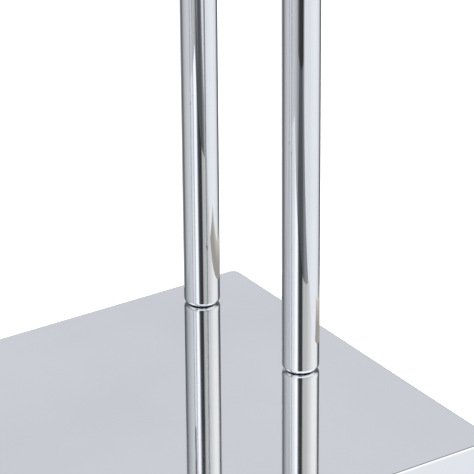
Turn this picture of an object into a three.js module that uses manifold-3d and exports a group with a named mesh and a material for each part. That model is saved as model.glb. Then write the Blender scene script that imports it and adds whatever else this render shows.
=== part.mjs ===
// Free-standing trouser press: a chromed base and two hairpin tube hoops carry a sprung
// press, a tray for small things and a jacket hanger. Millimetres, +Z up, front towards -Y,
// origin on the floor under the middle of the base.
import * as THREE from 'three';
import { mergeVertices } from 'three/addons/utils/BufferGeometryUtils.js';
import Module from 'manifold-3d';

const wasm = await Module();
wasm.setup();

const gap = 0.3; // between pieces that touch
const quarter = Math.PI / 2;

// Base: pressed cover over a ballast plate, on four rubber feet.
const base = { width: 480, depth: 300, top: 34, rim: 4, sheet: 2, corner: 6, edge: 2 };
const ballast = { width: 464, depth: 284, thick: 6 };
ballast.top = base.top - base.sheet - gap;
ballast.under = ballast.top - ballast.thick;
const foot = { x: 214, y: 130, radius: 15, recess: 14, screwRadius: 3, headRadius: 6 };
foot.height = ballast.under - gap;

// Two hoops of 25 mm tube, bolted up from under the base. The plug in each foot stands on a
// washer inside the bore, so the tube ends just clear of the cover.
const tube = { radius: 12.5, wall: 1.5 };
const seat = { from: base.top + 0.25, to: base.top + 0.75, radius: 10.2 };
const hoop = { x: 192.5, rear: 120, front: 0.5, foot: base.top + 0.35, crown: 985 };
hoop.middle = (hoop.rear + hoop.front) / 2;
hoop.bend = (hoop.rear - hoop.front) / 2;
const bolt = { radius: 4, hole: 4.5, head: 7.5, headHeight: 6.5, tip: 60, plugTop: 65 };

// Cross rails between the inner faces of the posts.
const rail = { reach: hoop.x - tube.radius - gap, radius: 8, wall: 1.5, lower: 350, upper: 820 };
const trayRail = { radius: 5, wall: 1, z: 880 };

// Press: two boards faced with pads, hinged along their lower edges.
const board = { width: 336, thick: 18, bottom: 315, top: 855, corner: 14 };
board.backFace = hoop.rear - rail.radius - gap - board.thick;
const pad = { width: 316, thick: 4.5, bottom: 325, top: 845, corner: 10 };
const pressLine = { y: board.backFace - gap - pad.thick - 0.55, z: 308 };
board.frontFace = 2 * pressLine.y - board.backFace; // rear side of the front board
const boardScrew = { x: 120, radius: 2.2, head: 4.5, hole: 2.6, depth: 11 };

// Sprung hinges under the boards.
const hinge = { x: 120, half: 25, knuckle: 5, bore: 2.4, pin: 2.1, leaf: 2.5, leafDepth: 16 };
hinge.leafTop = board.bottom - gap;
const spring = { wire: 0.75, coil: 4, turns: 5, half: 6.2, stepsPerTurn: 8 };

// Pull handle near the top of the front board.
const handle = { half: 60, z: 790, radius: 5, reach: 32, bend: 13, screw: 1.9, head: 4 };

// Tray on its two rails, with a liner.
const tray = { width: 340, depth: 147, height: 22, wall: 3, corner: 18, liner: 3 };
tray.bottom = trayRail.z + trayRail.radius + gap;

// Jacket hanger on a sliding stem, held in a sleeve on the top rail.
const sleeve = { radius: 12, from: 972, to: 1060, bore: 6.3, boreFrom: 997, clampZ: 1035 };
const stem = { radius: 6, from: 1000, shoulder: 1096, spigot: 4, top: 1131 };
const knob = { rod: 3, radius: 13, thick: 17 };
const hanger = { half: 205, drop: 40, deep: 26, tipDeep: 17, hub: 14, shoulder: 21, bore: 4.3 };
hanger.bottom = stem.shoulder + gap;
hanger.top = hanger.bottom + hanger.deep;
const finial = { radius: 9, height: 13 };

const corners = [
  { name: 'front_left', x: -1, y: -1 },
  { name: 'front_right', x: 1, y: -1 },
  { name: 'rear_left', x: -1, y: 1 },
  { name: 'rear_right', x: 1, y: 1 },
];
const sides = [{ name: 'left', x: -1 }, { name: 'right', x: 1 }];

const finishes = {
  chrome: { color: 0xcdd2d6, roughness: 0.06, metalness: 1 },
  steel: { color: 0x9a9da0, roughness: 0.4, metalness: 1 },
  rubber: { color: 0x1d1d1e, roughness: 0.85, metalness: 0 },
  gasket: { color: 0x232425, roughness: 0.7, metalness: 0 },
  veneer: { color: 0x4a2c1c, roughness: 0.3, metalness: 0 },
  cloth: { color: 0x7d7f83, roughness: 0.9, metalness: 0 },
  leather: { color: 0x2a211c, roughness: 0.6, metalness: 0 },
};

const press = new THREE.Group();

function add(name, finish, geometry, x = 0, y = 0, z = 0) {
  const mesh = new THREE.Mesh(geometry, new THREE.MeshStandardMaterial(finishes[finish]));
  mesh.name = name;
  mesh.position.set(x, y, z);
  press.add(mesh);
}

// ---- shape helpers ----

function solid(geometry) {
  const bare = geometry.clone();
  bare.deleteAttribute('normal');
  bare.deleteAttribute('uv');
  const merged = mergeVertices(bare, 1e-4);
  return new wasm.Manifold(new wasm.Mesh({
    numProp: 3,
    vertProperties: merged.attributes.position.array,
    triVerts: Uint32Array.from(merged.index.array),
  }));
}

function shell(body) {
  const mesh = body.getMesh();
  const geometry = new THREE.BufferGeometry();
  geometry.setAttribute('position', new THREE.BufferAttribute(mesh.vertProperties, 3));
  geometry.setIndex(new THREE.BufferAttribute(mesh.triVerts, 1));
  geometry.computeVertexNormals();
  return geometry;
}

function cut(geometry, ...tools) {
  return shell(tools.reduce((body, tool) => body.subtract(solid(tool)), solid(geometry)));
}

function join(...geometries) {
  return shell(geometries.map(solid).reduce((whole, next) => whole.add(next)));
}

function block(x0, x1, y0, y1, z0, z1) {
  const geometry = new THREE.BoxGeometry(x1 - x0, y1 - y0, z1 - z0);
  return geometry.translate((x0 + x1) / 2, (y0 + y1) / 2, (z0 + z1) / 2);
}

// A cylinder that stands on z0 and ends at z1.
function post(radius, z0, z1, x = 0, y = 0, facets = 16) {
  const geometry = new THREE.CylinderGeometry(radius, radius, z1 - z0, facets);
  return geometry.rotateX(quarter).translate(x, y, (z0 + z1) / 2);
}

// The same, lying along Y from y0 to y1, or along X from x0 to x1.
function rodY(radius, y0, y1, x, z, facets = 12) {
  const geometry = new THREE.CylinderGeometry(radius, radius, y1 - y0, facets);
  return geometry.translate(x, (y0 + y1) / 2, z);
}

function rodX(radius, x0, x1, y, z, facets = 16) {
  const geometry = new THREE.CylinderGeometry(radius, radius, x1 - x0, facets);
  return geometry.rotateZ(quarter).translate((x0 + x1) / 2, y, z);
}

// A turned piece: [radius, height] points from its bottom to its top.
function turned(points, facets = 16) {
  const profile = points.map(([radius, height]) => new THREE.Vector2(radius, height));
  return new THREE.LatheGeometry(profile, facets).rotateX(quarter);
}

// A washer-like turned piece with a hole.
function ring(inner, outer, z0, z1, facets = 16) {
  return turned([[inner, z0], [outer, z0], [outer, z1], [inner, z1], [inner, z0]], facets);
}

// A pan-head screw: head on z = 0 downwards, shank towards +Z.
function screw(headRadius, headHeight, shankRadius, length) {
  return turned([
    [0, -headHeight], [headRadius * 0.8, -headHeight], [headRadius, -headHeight * 0.5],
    [headRadius, 0], [shankRadius, 0], [shankRadius, length], [0, length],
  ], 10);
}

function roundedRectangle(width, depth, radius) {
  const shape = new THREE.Shape();
  const x = width / 2 - radius;
  const y = depth / 2 - radius;
  shape.absarc(x, y, radius, 0, quarter);
  shape.absarc(-x, y, radius, quarter, 2 * quarter);
  shape.absarc(-x, -y, radius, 2 * quarter, 3 * quarter);
  shape.absarc(x, -y, radius, 3 * quarter, 4 * quarter);
  return shape;
}

// A rounded plate from z0 to z1, its upper and lower edges rounded by edge.
function plate(width, depth, radius, z0, z1, edge = 0) {
  const geometry = new THREE.ExtrudeGeometry(roundedRectangle(width, depth, radius), {
    depth: z1 - z0 - 2 * edge,
    curveSegments: 2,
    bevelEnabled: edge > 0,
    bevelThickness: edge,
    bevelSize: edge,
    bevelOffset: -edge,
    bevelSegments: 2,
  });
  return geometry.translate(0, 0, z0 + edge);
}

// A line of hand-set stations, so that straight runs take one step each.
class StationLine extends THREE.Curve {
  constructor(stations) {
    super();
    this.stations = stations;
  }

  station(u) {
    return this.stations[Math.round(u * (this.stations.length - 1))];
  }

  getPointAt(u, target = new THREE.Vector3()) {
    return target.copy(this.station(u).point);
  }

  getTangentAt(u, target = new THREE.Vector3()) {
    return target.copy(this.station(u).along);
  }
}

function station(x, y, z, dx, dy, dz) {
  return { point: new THREE.Vector3(x, y, z), along: new THREE.Vector3(dx, dy, dz).normalize() };
}

function swept(stations, outer, inner, curveSegments) {
  const section = new THREE.Shape();
  section.absarc(0, 0, outer, 0, 4 * quarter);
  if (inner > 0) {
    section.holes.push(new THREE.Path().absarc(0, 0, inner, 0, 4 * quarter, true));
  }
  return new THREE.ExtrudeGeometry(section, {
    steps: stations.length - 1,
    extrudePath: new StationLine(stations),
    bevelEnabled: false,
    curveSegments,
  });
}

// ---- base ----

function baseCover() {
  const outside = plate(base.width, base.depth, base.corner, -base.rim, base.top, base.edge);
  const inner = 2 * base.sheet;
  const inside = plate(base.width - inner, base.depth - inner, base.corner - base.sheet,
    -2 * base.rim, base.top - base.sheet);
  const below = block(-base.width, base.width, -base.depth, base.depth, -base.depth, base.rim);
  return cut(outside, inside, below, ...boltHoles(base.top));
}

function boltHoles(top) {
  return postPlaces().map(({ x, y }) => post(bolt.hole, ballast.under - 1, top + 1, x, y, 12));
}

function ballastPlate() {
  const whole = plate(ballast.width, ballast.depth, base.corner, ballast.under, ballast.top);
  const footHoles = corners.map((c) => post(foot.screwRadius + gap, ballast.under - 1,
    ballast.top + 1, c.x * foot.x, c.y * foot.y, 12));
  return cut(whole, ...boltHoles(ballast.top), ...footHoles);
}

function rubberFoot() {
  const bore = foot.screwRadius + gap;
  const well = foot.headRadius + 1;
  return turned([
    [bore, foot.recess], [well, foot.recess], [well, 0], [foot.radius - 2.5, 0],
    [foot.radius - 1, 1.5], [foot.radius, foot.height], [bore, foot.height], [bore, foot.recess],
  ], 18);
}

function buildBase() {
  add('base_cover', 'chrome', baseCover());
  add('ballast_plate', 'steel', ballastPlate());
  const length = ballast.top - 1.5 - foot.recess;
  for (const corner of corners) {
    const x = corner.x * foot.x;
    const y = corner.y * foot.y;
    add(`rubber_foot_${corner.name}`, 'rubber', rubberFoot(), x, y, 0);
    add(`foot_screw_${corner.name}`, 'steel',
      screw(foot.headRadius, 3.5, foot.screwRadius, length), x, y, foot.recess - gap);
  }
}

// ---- hoops and rails ----

function postPlaces() {
  return corners.map((corner) => ({
    name: corner.name,
    x: corner.x * hoop.x,
    y: corner.y > 0 ? hoop.rear : hoop.front,
  }));
}

// Rear leg up, half a turn over the crown, front leg down.
function sideHoop() {
  const bendSteps = 12;
  const centre = hoop.crown - hoop.bend;
  const stations = [station(0, hoop.rear, hoop.foot, 0, 0, 1)];
  for (let i = 0; i <= bendSteps; i += 1) {
    const angle = (Math.PI * i) / bendSteps;
    const y = hoop.middle + hoop.bend * Math.cos(angle);
    const z = centre + hoop.bend * Math.sin(angle);
    stations.push(station(0, y, z, 0, -Math.sin(angle), Math.cos(angle)));
  }
  stations.push(station(0, hoop.front, hoop.foot, 0, 0, -1));
  return swept(stations, tube.radius, tube.radius - tube.wall, 8);
}

function postBolt() {
  const under = ballast.under - gap;
  const head = new THREE.CylinderGeometry(bolt.head, bolt.head, bolt.headHeight, 6);
  head.rotateX(quarter).translate(0, 0, under - bolt.headHeight / 2);
  return join(head, post(bolt.radius, under - 1, bolt.tip, 0, 0, 12));
}

function buildHoops() {
  for (const side of sides) {
    add(`side_hoop_${side.name}`, 'chrome', sideHoop(), side.x * hoop.x, 0, 0);
  }
  const plugRadius = tube.radius - tube.wall - gap;
  for (const place of postPlaces()) {
    add(`post_seat_ring_${place.name}`, 'gasket',
      ring(bolt.hole, seat.radius, seat.from, seat.to), place.x, place.y, 0);
    add(`post_plug_${place.name}`, 'steel',
      ring(bolt.hole, plugRadius, seat.to + gap, bolt.plugTop), place.x, place.y, 0);
    add(`post_bolt_${place.name}`, 'steel', postBolt(), place.x, place.y, 0);
  }
}

function railTube(radius, wall, y, z) {
  const reach = rail.reach;
  return cut(rodX(radius, -reach, reach, y, z), rodX(radius - wall, -reach - 1, reach + 1, y, z));
}

function boardRail(z) {
  const whole = railTube(rail.radius, rail.wall, hoop.rear, z);
  const holes = sides.map((side) => rodY(boardScrew.hole, hoop.rear - 2 * rail.radius,
    hoop.rear + 2 * rail.radius, side.x * boardScrew.x, z, 10));
  return cut(whole, ...holes);
}

function buildRails() {
  add('rear_lower_rail', 'chrome', boardRail(rail.lower));
  add('rear_upper_rail', 'chrome', boardRail(rail.upper));
  add('top_rail', 'chrome', railTube(rail.radius, rail.wall, hoop.middle, hoop.crown));
  add('tray_rail_front', 'chrome', railTube(trayRail.radius, trayRail.wall, hoop.front, trayRail.z));
  add('tray_rail_rear', 'chrome', railTube(trayRail.radius, trayRail.wall, hoop.rear, trayRail.z));
}

// ---- press ----

// An upright rounded panel, its front at y0 and its rear at y1.
function panel(size, y0, y1, edge) {
  const height = size.top - size.bottom;
  const geometry = plate(size.width, height, size.corner, y0, y1, edge);
  return geometry.rotateX(quarter).translate(0, y0 + y1, (size.top + size.bottom) / 2);
}

function backBoard() {
  const rear = board.backFace + board.thick;
  const holes = [];
  for (const side of sides) {
    for (const z of [rail.lower, rail.upper]) {
      holes.push(rodY(boardScrew.hole, rear - boardScrew.depth - 1, rear + 1,
        side.x * boardScrew.x, z, 10));
    }
  }
  return cut(panel(board, board.backFace, rear, 3), ...holes);
}

function frontBoard() {
  const front = board.frontFace - board.thick;
  const holes = [];
  for (const side of sides) {
    const x = side.x * handle.half;
    holes.push(rodY(handle.screw + gap, front - 1, board.frontFace + 1, x, handle.z, 12));
    holes.push(rodY(handle.head + gap, board.frontFace - 3.6, board.frontFace + 1, x, handle.z));
  }
  return cut(panel(board, front, board.frontFace, 3), ...holes);
}

// way is 1 for the fixed leaf under the back board, -1 for the moving one.
function hingeLeaf(x, way, knuckles) {
  const y = pressLine.y;
  const z = pressLine.z;
  const span = (from, to) => (way > 0 ? [y + from, y + to] : [y - to, y - from]);
  const [plateFrom, plateTo] = span(hinge.knuckle, hinge.knuckle + hinge.leafDepth);
  const [webFrom, webTo] = span(1.7, hinge.knuckle + 3.5);
  const pieces = [block(x - hinge.half, x + hinge.half, plateFrom, plateTo,
    hinge.leafTop - hinge.leaf, hinge.leafTop)];
  for (const [from, to] of knuckles) {
    pieces.push(rodX(hinge.knuckle, x + from, x + to, y, z, 14));
    pieces.push(block(x + from, x + to, webFrom, webTo, z - 2, hinge.leafTop));
  }
  const bore = rodX(hinge.bore, x - 2 * hinge.half, x + 2 * hinge.half, y, z, 12);
  return shell(pieces.map(solid).reduce((whole, next) => whole.add(next)).subtract(solid(bore)));
}

function hingePin(x) {
  const end = hinge.half + 2;
  return join(
    rodX(hinge.pin, x - end, x + end, pressLine.y, pressLine.z, 12),
    rodX(hinge.bore + 1.2, x + hinge.half + gap, x + end, pressLine.y, pressLine.z, 12),
  );
}

function torsionSpring(x) {
  const steps = spring.turns * spring.stepsPerTurn;
  const pitch = (2 * spring.half) / (2 * Math.PI * spring.turns);
  const stations = [];
  for (let i = 0; i <= steps; i += 1) {
    const angle = (2 * Math.PI * i) / spring.stepsPerTurn;
    const along = x - spring.half + pitch * angle;
    const y = pressLine.y + spring.coil * Math.cos(angle);
    const z = pressLine.z + spring.coil * Math.sin(angle);
    stations.push(station(along, y, z, pitch, -spring.coil * Math.sin(angle),
      spring.coil * Math.cos(angle)));
  }
  return swept(stations, spring.wire, 0, 3);
}

function pullHandle() {
  const root = board.frontFace - board.thick - gap;
  const bar = board.frontFace - board.thick - handle.reach;
  const turn = handle.half - handle.bend;
  const bendSteps = 5;
  const stations = [station(-handle.half, root, handle.z, 0, -1, 0)];
  for (const way of [-1, 1]) {
    for (let i = 0; i <= bendSteps; i += 1) {
      const angle = (quarter * (way < 0 ? i : bendSteps - i)) / bendSteps;
      const x = way * (turn + handle.bend * Math.cos(angle));
      const y = bar + handle.bend - handle.bend * Math.sin(angle);
      stations.push(station(x, y, handle.z, Math.sin(angle), way * Math.cos(angle), 0));
    }
  }
  stations.push(station(handle.half, root, handle.z, 0, 1, 0));
  const rod = swept(stations, handle.radius, 0, 6);
  const holes = sides.map((side) => rodY(handle.screw + gap, root - 15, root + 1,
    side.x * handle.half, handle.z, 12));
  return cut(rod, ...holes);
}

function buildPress() {
  add('back_board', 'veneer', backBoard());
  add('back_pad', 'cloth', panel(pad, board.backFace - gap - pad.thick, board.backFace - gap, 1.2));
  add('front_board', 'veneer', frontBoard());
  add('front_pad', 'cloth',
    panel(pad, board.frontFace + gap, board.frontFace + gap + pad.thick, 1.2));
  const behind = hoop.rear + rail.radius + gap;
  const shank = behind - (board.backFace + board.thick - boardScrew.depth) - 1;
  for (const side of sides) {
    for (const [level, z] of [['lower', rail.lower], ['upper', rail.upper]]) {
      add(`board_screw_${level}_${side.name}`, 'steel',
        screw(boardScrew.head, 3, boardScrew.radius, shank).rotateX(quarter),
        side.x * boardScrew.x, behind, z);
    }
    const x = side.x * hinge.x;
    add(`hinge_fixed_leaf_${side.name}`, 'steel', hingeLeaf(x, 1, [[-25, -15], [15, 25]]));
    add(`hinge_moving_leaf_${side.name}`, 'steel', hingeLeaf(x, -1, [[-14.5, -8], [8, 14.5]]));
    add(`hinge_pin_${side.name}`, 'steel', hingePin(x));
    add(`closing_spring_${side.name}`, 'steel', torsionSpring(x));
    add(`handle_screw_${side.name}`, 'steel',
      screw(handle.head, 2.8, handle.screw, 26).rotateX(quarter),
      side.x * handle.half, board.frontFace - 3.3, handle.z);
  }
  add('pull_handle', 'chrome', pullHandle());
}

// ---- tray and hanger ----

function buildTray() {
  const top = tray.bottom + tray.height;
  const floor = tray.bottom + tray.wall;
  const inner = 2 * tray.wall;
  const outside = plate(tray.width, tray.depth, tray.corner, tray.bottom, top, 1.2);
  const inside = plate(tray.width - inner, tray.depth - inner, tray.corner - tray.wall,
    floor, top + 1);
  add('accessory_tray', 'veneer', cut(outside, inside), 0, hoop.middle, 0);
  const linerInset = inner + 2 * gap;
  add('tray_liner', 'leather', plate(tray.width - linerInset, tray.depth - linerInset,
    tray.corner - tray.wall - gap, floor + gap, floor + gap + tray.liner), 0, hoop.middle, 0);
}

function hangerSleeve() {
  const reach = 2 * sleeve.radius;
  return cut(
    post(sleeve.radius, sleeve.from, sleeve.to, 0, 0, 20),
    rodX(rail.radius + gap, -reach, reach, 0, hoop.crown, 18),
    post(sleeve.bore, sleeve.boreFrom, sleeve.to + 1),
    rodY(knob.rod + gap, -reach, 0, 0, sleeve.clampZ, 12),
  );
}

// Rod towards the stem, turned grip outside the sleeve.
function clampKnob() {
  const face = sleeve.radius + gap;
  const tip = stem.radius + gap;
  const outer = face + knob.thick;
  return turned([
    [0, tip], [knob.rod, tip], [knob.rod, face], [knob.radius - 5, face],
    [knob.radius, face + 5], [knob.radius, outer - 2], [knob.radius - 2, outer], [0, outer],
  ], 18).rotateX(quarter);
}

// An arched bar, deep at the hub and slimmer at the tips, that widens towards the shoulders.
function jacketHanger() {
  const arc = (half, top, drop, steps, way) => {
    const radius = (half * half + drop * drop) / (2 * drop);
    const sweep = Math.asin(half / radius);
    return Array.from({ length: steps + 1 }, (_, i) => {
      const angle = way * sweep * (1 - (2 * i) / steps);
      return new THREE.Vector2(radius * Math.sin(angle), top - radius * (1 - Math.cos(angle)));
    });
  };
  const lowerDrop = hanger.drop + hanger.tipDeep - hanger.deep;
  const outline = [
    ...arc(hanger.half, hanger.top, hanger.drop, 16, 1),
    ...arc(hanger.half, hanger.bottom, lowerDrop, 16, -1),
  ];
  const bar = new THREE.ExtrudeGeometry(new THREE.Shape(outline), {
    depth: 2 * hanger.shoulder, bevelEnabled: false,
  });
  bar.rotateX(quarter).translate(0, hanger.shoulder, 0);
  const waist = 55;
  const plan = new THREE.Shape();
  plan.moveTo(-waist, -hanger.hub);
  plan.lineTo(waist, -hanger.hub);
  plan.quadraticCurveTo(hanger.half * 0.6, -hanger.hub, hanger.half - 14, -hanger.shoulder);
  plan.quadraticCurveTo(hanger.half, -hanger.shoulder, hanger.half, 0);
  plan.quadraticCurveTo(hanger.half, hanger.shoulder, hanger.half - 14, hanger.shoulder);
  plan.quadraticCurveTo(hanger.half * 0.6, hanger.hub, waist, hanger.hub);
  plan.lineTo(-waist, hanger.hub);
  plan.quadraticCurveTo(-hanger.half * 0.6, hanger.hub, -hanger.half + 14, hanger.shoulder);
  plan.quadraticCurveTo(-hanger.half, hanger.shoulder, -hanger.half, 0);
  plan.quadraticCurveTo(-hanger.half, -hanger.shoulder, -hanger.half + 14, -hanger.shoulder);
  plan.quadraticCurveTo(-hanger.half * 0.6, -hanger.hub, -waist, -hanger.hub);
  const depth = 3 * hanger.deep + 2 * hanger.drop;
  const planBlock = new THREE.ExtrudeGeometry(plan, {
    depth, bevelEnabled: false, curveSegments: 6,
  }).translate(0, 0, hanger.top - depth + 1);
  const body = solid(bar).intersect(solid(planBlock));
  return shell(body.subtract(solid(post(hanger.bore, hanger.bottom - 9, hanger.top + 9))));
}

function buildHanger() {
  const y = hoop.middle;
  add('hanger_sleeve', 'chrome', hangerSleeve(), 0, y, 0);
  add('clamp_knob', 'chrome', clampKnob(), 0, y, sleeve.clampZ);
  add('hanger_stem', 'chrome', turned([
    [0, stem.from], [stem.radius, stem.from], [stem.radius, stem.shoulder],
    [stem.spigot, stem.shoulder], [stem.spigot, stem.top], [0, stem.top],
  ]), 0, y, 0);
  add('jacket_hanger', 'veneer', jacketHanger(), 0, y, 0);
  const from = hanger.top + gap;
  const bore = stem.spigot + gap;
  const ceiling = stem.top + gap;
  add('hanger_finial', 'chrome', turned([
    [bore, from], [finial.radius - 2, from], [finial.radius, from + 3],
    [finial.radius, from + finial.height - 5], [finial.radius - 3, from + finial.height - 1],
    [0, from + finial.height], [0, ceiling], [bore, ceiling], [bore, from],
  ], 16), 0, y, 0);
}

buildBase();
buildHoops();
buildRails();
buildPress();
buildTray();
buildHanger();

export default press;
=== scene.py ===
import math

import bmesh
import bpy
from mathutils import Matrix, Vector


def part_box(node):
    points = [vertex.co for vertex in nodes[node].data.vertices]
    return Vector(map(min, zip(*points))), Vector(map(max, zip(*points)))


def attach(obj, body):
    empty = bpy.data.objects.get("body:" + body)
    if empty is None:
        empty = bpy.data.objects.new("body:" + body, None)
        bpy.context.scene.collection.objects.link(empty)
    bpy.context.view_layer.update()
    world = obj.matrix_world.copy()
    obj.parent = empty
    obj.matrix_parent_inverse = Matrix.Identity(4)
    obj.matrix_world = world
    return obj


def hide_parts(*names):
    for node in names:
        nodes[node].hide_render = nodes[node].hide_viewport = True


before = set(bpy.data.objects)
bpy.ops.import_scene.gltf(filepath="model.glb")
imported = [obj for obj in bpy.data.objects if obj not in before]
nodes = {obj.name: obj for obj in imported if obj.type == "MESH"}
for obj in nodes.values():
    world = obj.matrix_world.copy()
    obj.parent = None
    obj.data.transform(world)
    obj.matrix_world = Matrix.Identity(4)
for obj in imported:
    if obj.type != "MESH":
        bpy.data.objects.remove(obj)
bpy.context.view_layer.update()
mm = 0.001
cornerNames = ["front_left", "front_right", "rear_left", "rear_right"]
sideNames = ["left", "right"]
print("frame loaded:", len(nodes), "nodes")


def middleOf(node):
    low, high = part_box(node)
    return (Vector(low) + Vector(high)) / 2


# a long lens on the rear right corner of the base
cameraSettings = {
    "lensMm": 229.1,
    "distance": 2.1297,
    "azimuth": -33.32,     # degrees round from the front, towards the left
    "elevation": 25.247,
    "roll": 0.439,
    "aimFromCorner": (6.12, 7.22, 19.92),  # mm from the base's top rear right corner
}


def makeCamera():
    aim = Vector(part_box("base_cover")[1]) + Vector(cameraSettings["aimFromCorner"]) * mm
    azimuth = math.radians(cameraSettings["azimuth"])
    elevation = math.radians(cameraSettings["elevation"])
    roll = math.radians(cameraSettings["roll"])
    back = Vector((math.sin(azimuth) * math.cos(elevation),
                   -math.cos(azimuth) * math.cos(elevation), math.sin(elevation)))
    camera = bpy.data.cameras.new("camera")
    camera.lens = cameraSettings["lensMm"]
    camera.sensor_width = 36
    camera.clip_end = 100
    holder = bpy.data.objects.new("camera", camera)
    bpy.context.collection.objects.link(holder)
    holder.rotation_mode = "QUATERNION"
    holder.location = aim + back * cameraSettings["distance"]
    level = (-back).to_track_quat("-Z", "Y")
    holder.rotation_quaternion = level @ Matrix.Rotation(-roll, 3, "Z").to_quaternion()
    bpy.context.scene.camera = holder


makeCamera()
print("camera placed")


def toLinear(hexColour):
    channels = [int(hexColour[i:i + 2], 16) / 255 for i in (1, 3, 5)]
    return tuple(c / 12.92 if c <= 0.04045 else ((c + 0.055) / 1.055) ** 2.4
                 for c in channels) + (1.0,)


def addNode(tree, kind, values=None, links=None):
    node = tree.nodes.new(kind)
    for key, value in (values or {}).items():
        if isinstance(key, int) or key in node.inputs:
            node.inputs[key].default_value = value
        else:
            setattr(node, key, value)
    for key, source in (links or {}).items():
        tree.links.new(source, node.inputs[key])
    return node


def setStops(ramp, stops):
    elements = ramp.color_ramp.elements
    while len(elements) > 1:
        elements.remove(elements[-1])
    elements[0].position, elements[0].color = stops[0]
    for position, colour in stops[1:]:
        elements.new(position).color = colour


def startMaterial(name, **shader):
    material = bpy.data.materials.new(name)
    material.use_nodes = True
    tree = material.node_tree
    tree.nodes.clear()
    surface = addNode(tree, "ShaderNodeBsdfPrincipled", shader)
    addNode(tree, "ShaderNodeOutputMaterial", None, {"Surface": surface.outputs[0]})
    place = addNode(tree, "ShaderNodeTexCoord").outputs["Object"]
    return material, tree, surface, place


def bumpInto(tree, surface, height, strength, distance):
    bump = addNode(tree, "ShaderNodeBump", {"Strength": strength, "Distance": distance},
                   {"Height": height})
    tree.links.new(bump.outputs[0], surface.inputs["Normal"])


chromeLook = {
    "bright": "#f2f3f4",
    "cool": "#eceef0",
    "smooth": 0.015,
    "hazy": 0.05,
    "hairlineMm": 0.6,
}


def polishedChrome(name, alongZ):
    # Chromium over buffed steel: a cold mirror, with faint buffing lines and uneven haze.
    material, tree, surface, place = startMaterial(name, Metallic=1.0)
    patches = addNode(tree, "ShaderNodeTexNoise", {"Scale": 9.0, "Detail": 3.0}, {"Vector": place})
    tint = addNode(tree, "ShaderNodeValToRGB", None, {"Fac": patches.outputs[0]})
    setStops(tint, [(0.3, toLinear(chromeLook["cool"])), (0.7, toLinear(chromeLook["bright"]))])
    tree.links.new(tint.outputs[0], surface.inputs["Base Color"])
    fine = 1 / (chromeLook["hairlineMm"] * mm)
    stretch = (fine, fine, 12.0) if alongZ else (14.0, fine, fine)
    lines = addNode(tree, "ShaderNodeMapping", {"Scale": stretch}, {"Vector": place})
    hairline = addNode(tree, "ShaderNodeTexNoise", {"Scale": 1.0, "Detail": 4.0},
                       {"Vector": lines.outputs[0]})
    haze = addNode(tree, "ShaderNodeMath", {"operation": "MULTIPLY"},
                   {0: hairline.outputs[0], 1: patches.outputs[0]})
    gloss = addNode(tree, "ShaderNodeMapRange", {
        "From Min": 0.12, "From Max": 0.5,
        "To Min": chromeLook["smooth"], "To Max": chromeLook["hazy"]}, {"Value": haze.outputs[0]})
    tree.links.new(gloss.outputs[0], surface.inputs["Roughness"])
    bumpInto(tree, surface, patches.outputs[0], 0.06, 0.4 * mm)
    return material


def platedSteel(name, tint, roughness, lineMm):
    # Zinc or nickel plate on drawn steel: grey, satin, with fine drawing marks.
    material, tree, surface, place = startMaterial(name, Metallic=1.0)
    stretch = addNode(tree, "ShaderNodeMapping",
                      {"Scale": (1 / (lineMm * mm), 60.0, 1 / (lineMm * mm))}, {"Vector": place})
    marks = addNode(tree, "ShaderNodeTexNoise", {"Scale": 1.0, "Detail": 5.0},
                    {"Vector": stretch.outputs[0]})
    colour = addNode(tree, "ShaderNodeValToRGB", None, {"Fac": marks.outputs[0]})
    setStops(colour, [(0.25, toLinear(tint[0])), (0.75, toLinear(tint[1]))])
    tree.links.new(colour.outputs[0], surface.inputs["Base Color"])
    gloss = addNode(tree, "ShaderNodeMapRange", {
        "To Min": roughness - 0.08, "To Max": roughness + 0.1}, {"Value": marks.outputs[0]})
    tree.links.new(gloss.outputs[0], surface.inputs["Roughness"])
    bumpInto(tree, surface, marks.outputs[0], 0.25, 0.05 * mm)
    return material


def paintedPlate():
    # Satin black paint on hot-rolled plate: soft orange peel, dust in the hollows.
    material, tree, surface, place = startMaterial("satin_black_paint")
    peel = addNode(tree, "ShaderNodeTexNoise", {"Scale": 900.0, "Detail": 2.0}, {"Vector": place})
    dust = addNode(tree, "ShaderNodeTexNoise", {"Scale": 14.0, "Detail": 6.0}, {"Vector": place})
    colour = addNode(tree, "ShaderNodeValToRGB", None, {"Fac": dust.outputs[0]})
    setStops(colour, [(0.4, toLinear("#1b1b1c")), (0.75, toLinear("#2b2b2a"))])
    tree.links.new(colour.outputs[0], surface.inputs["Base Color"])
    gloss = addNode(tree, "ShaderNodeMapRange", {"To Min": 0.32, "To Max": 0.5},
                    {"Value": dust.outputs[0]})
    tree.links.new(gloss.outputs[0], surface.inputs["Roughness"])
    bumpInto(tree, surface, peel.outputs[0], 0.2, 0.1 * mm)
    return material


def mouldedRubber(name, dark, pale):
    # Carbon-black rubber from a spark-eroded mould: matt, charcoal, finely grained.
    material, tree, surface, place = startMaterial(name)
    grain = addNode(tree, "ShaderNodeTexNoise", {"Scale": 2200.0, "Detail": 3.0},
                    {"Vector": place})
    scuff = addNode(tree, "ShaderNodeTexNoise", {"Scale": 70.0, "Detail": 5.0}, {"Vector": place})
    colour = addNode(tree, "ShaderNodeValToRGB", None, {"Fac": scuff.outputs[0]})
    setStops(colour, [(0.35, toLinear(dark)), (0.75, toLinear(pale))])
    tree.links.new(colour.outputs[0], surface.inputs["Base Color"])
    gloss = addNode(tree, "ShaderNodeMapRange", {"To Min": 0.62, "To Max": 0.86},
                    {"Value": scuff.outputs[0]})
    tree.links.new(gloss.outputs[0], surface.inputs["Roughness"])
    bumpInto(tree, surface, grain.outputs[0], 0.35, 0.12 * mm)
    return material


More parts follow.
